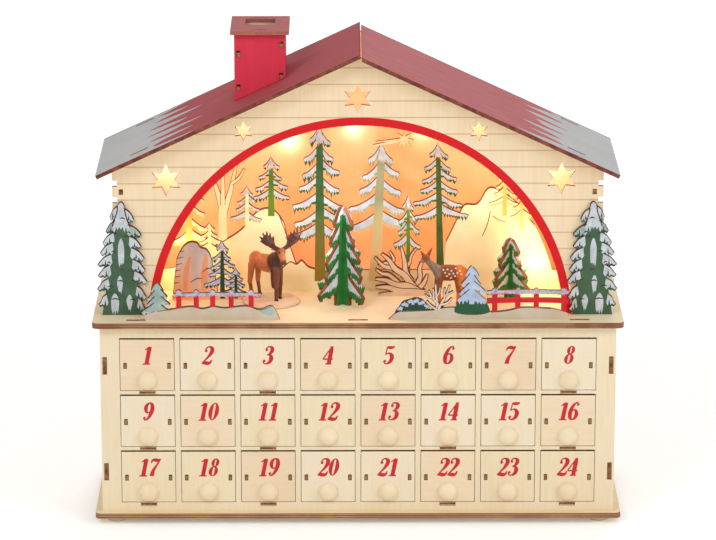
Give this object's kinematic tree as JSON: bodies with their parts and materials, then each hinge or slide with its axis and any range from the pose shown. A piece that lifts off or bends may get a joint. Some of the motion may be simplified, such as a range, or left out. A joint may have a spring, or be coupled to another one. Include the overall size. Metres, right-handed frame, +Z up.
{
  "type": "drawer advent calendar",
  "caption": "Lit wooden advent calendar: a house with a winter scene in an arched window on a cabinet of numbered sliding drawers.",
  "frame": {"origin": "on the ground under the middle of the base plate", "axes": "+Z up, +X to the right seen from the front, the drawers open towards -Y"},
  "size_m": [0.4, 0.13, 0.3736],
  "materials": {
    "birch": "sanded pale birch plywood, laser-browned edges",
    "plate_birch": "sanded plywood, browned edges",
    "foot_wood": "sanded",
    "roof_red": "dull dark red paint with grey snow at the eaves",
    "chimney_red": "matt red paint",
    "fir_green": "printed green with snow",
    "snow_paint": "printed snow, red fence",
    "moose_brown": "painted resin",
    "fawn_brown": "painted resin",
    "lamp": "warm white lamps on a fine wire",
    "white_plastic": "moulded",
    "black_plastic": "moulded"
  },
  "bodies": {
    "calendar": {"base_plate": "plate_birch", "foot_front_left": "foot_wood", "foot_front_right": "foot_wood", "foot_rear_left": "foot_wood", "foot_rear_right": "foot_wood", "cabinet_left_side": "birch", "cabinet_right_side": "birch", "face_frame": "birch", "cabinet_back": "birch", "rack_tier_1": "birch", "rack_tier_2": "birch", "rack_tier_3": "birch", "deck_plate": "plate_birch", "house_front": "birch", "house_left_wall": "birch", "house_right_wall": "birch", "house_back": "birch", "roof_left": "roof_red", "roof_right": "roof_red", "chimney_stack": "chimney_red", "chimney_cap": "chimney_red", "forest_board": "birch", "rock_board": "snow_paint", "thicket_board": "snow_paint", "tree_left": "fir_green", "tree_right": "fir_green", "scenery_left": "snow_paint", "scenery_right": "snow_paint", "centre_tree": "fir_green", "right_tree": "fir_green", "moose": "moose_brown", "fawn": "fawn_brown", "led_string": "lamp", "battery_case": "white_plastic"},
    "drawer_01": {"drawer_01": "birch"},
    "drawer_02": {"drawer_02": "birch"},
    "drawer_03": {"drawer_03": "birch"},
    "drawer_04": {"drawer_04": "birch"},
    "drawer_05": {"drawer_05": "birch"},
    "drawer_06": {"drawer_06": "birch"},
    "drawer_07": {"drawer_07": "birch"},
    "drawer_08": {"drawer_08": "birch"},
    "drawer_09": {"drawer_09": "birch"},
    "drawer_10": {"drawer_10": "birch"},
    "drawer_11": {"drawer_11": "birch"},
    "drawer_12": {"drawer_12": "birch"},
    "drawer_13": {"drawer_13": "birch"},
    "drawer_14": {"drawer_14": "birch"},
    "drawer_15": {"drawer_15": "birch"},
    "drawer_16": {"drawer_16": "birch"},
    "drawer_17": {"drawer_17": "birch"},
    "drawer_18": {"drawer_18": "birch"},
    "drawer_19": {"drawer_19": "birch"},
    "drawer_20": {"drawer_20": "birch"},
    "drawer_21": {"drawer_21": "birch"},
    "drawer_22": {"drawer_22": "birch"},
    "drawer_23": {"drawer_23": "birch"},
    "drawer_24": {"drawer_24": "birch"},
    "battery_cover": {"battery_cover": "white_plastic"},
    "power_switch": {"power_switch": "black_plastic"}
  },
  "joints": [
    {"name": "drawer_01_slide", "type": "slide", "parent": "calendar", "child": "drawer_01", "axis": [0, -1, 0], "range_m": [0, 0.09]},
    {"name": "drawer_02_slide", "type": "slide", "parent": "calendar", "child": "drawer_02", "axis": [0, -1, 0], "range_m": [0, 0.09]},
    {"name": "drawer_03_slide", "type": "slide", "parent": "calendar", "child": "drawer_03", "axis": [0, -1, 0], "range_m": [0, 0.09]},
    {"name": "drawer_04_slide", "type": "slide", "parent": "calendar", "child": "drawer_04", "axis": [0, -1, 0], "range_m": [0, 0.09]},
    {"name": "drawer_05_slide", "type": "slide", "parent": "calendar", "child": "drawer_05", "axis": [0, -1, 0], "range_m": [0, 0.09]},
    {"name": "drawer_06_slide", "type": "slide", "parent": "calendar", "child": "drawer_06", "axis": [0, -1, 0], "range_m": [0, 0.09]},
    {"name": "drawer_07_slide", "type": "slide", "parent": "calendar", "child": "drawer_07", "axis": [0, -1, 0], "range_m": [0, 0.09]},
    {"name": "drawer_08_slide", "type": "slide", "parent": "calendar", "child": "drawer_08", "axis": [0, -1, 0], "range_m": [0, 0.09]},
    {"name": "drawer_09_slide", "type": "slide", "parent": "calendar", "child": "drawer_09", "axis": [0, -1, 0], "range_m": [0, 0.09]},
    {"name": "drawer_10_slide", "type": "slide", "parent": "calendar", "child": "drawer_10", "axis": [0, -1, 0], "range_m": [0, 0.09]},
    {"name": "drawer_11_slide", "type": "slide", "parent": "calendar", "child": "drawer_11", "axis": [0, -1, 0], "range_m": [0, 0.09]},
    {"name": "drawer_12_slide", "type": "slide", "parent": "calendar", "child": "drawer_12", "axis": [0, -1, 0], "range_m": [0, 0.09]},
    {"name": "drawer_13_slide", "type": "slide", "parent": "calendar", "child": "drawer_13", "axis": [0, -1, 0], "range_m": [0, 0.09]},
    {"name": "drawer_14_slide", "type": "slide", "parent": "calendar", "child": "drawer_14", "axis": [0, -1, 0], "range_m": [0, 0.09]},
    {"name": "drawer_15_slide", "type": "slide", "parent": "calendar", "child": "drawer_15", "axis": [0, -1, 0], "range_m": [0, 0.09]},
    {"name": "drawer_16_slide", "type": "slide", "parent": "calendar", "child": "drawer_16", "axis": [0, -1, 0], "range_m": [0, 0.09]},
    {"name": "drawer_17_slide", "type": "slide", "parent": "calendar", "child": "drawer_17", "axis": [0, -1, 0], "range_m": [0, 0.09]},
    {"name": "drawer_18_slide", "type": "slide", "parent": "calendar", "child": "drawer_18", "axis": [0, -1, 0], "range_m": [0, 0.09]},
    {"name": "drawer_19_slide", "type": "slide", "parent": "calendar", "child": "drawer_19", "axis": [0, -1, 0], "range_m": [0, 0.09]},
    {"name": "drawer_20_slide", "type": "slide", "parent": "calendar", "child": "drawer_20", "axis": [0, -1, 0], "range_m": [0, 0.09]},
    {"name": "drawer_21_slide", "type": "slide", "parent": "calendar", "child": "drawer_21", "axis": [0, -1, 0], "range_m": [0, 0.09]},
    {"name": "drawer_22_slide", "type": "slide", "parent": "calendar", "child": "drawer_22", "axis": [0, -1, 0], "range_m": [0, 0.09]},
    {"name": "drawer_23_slide", "type": "slide", "parent": "calendar", "child": "drawer_23", "axis": [0, -1, 0], "range_m": [0, 0.09]},
    {"name": "drawer_24_slide", "type": "slide", "parent": "calendar", "child": "drawer_24", "axis": [0, -1, 0], "range_m": [0, 0.09]},
    {"name": "battery_cover_slide", "type": "slide", "parent": "calendar", "child": "battery_cover", "axis": [1, 0, 0], "range_m": [0, 0.006]},
    {"name": "power_switch_slide", "type": "slide", "parent": "calendar", "child": "power_switch", "axis": [1, 0, 0], "range_m": [0, 0.004]}
  ]
}
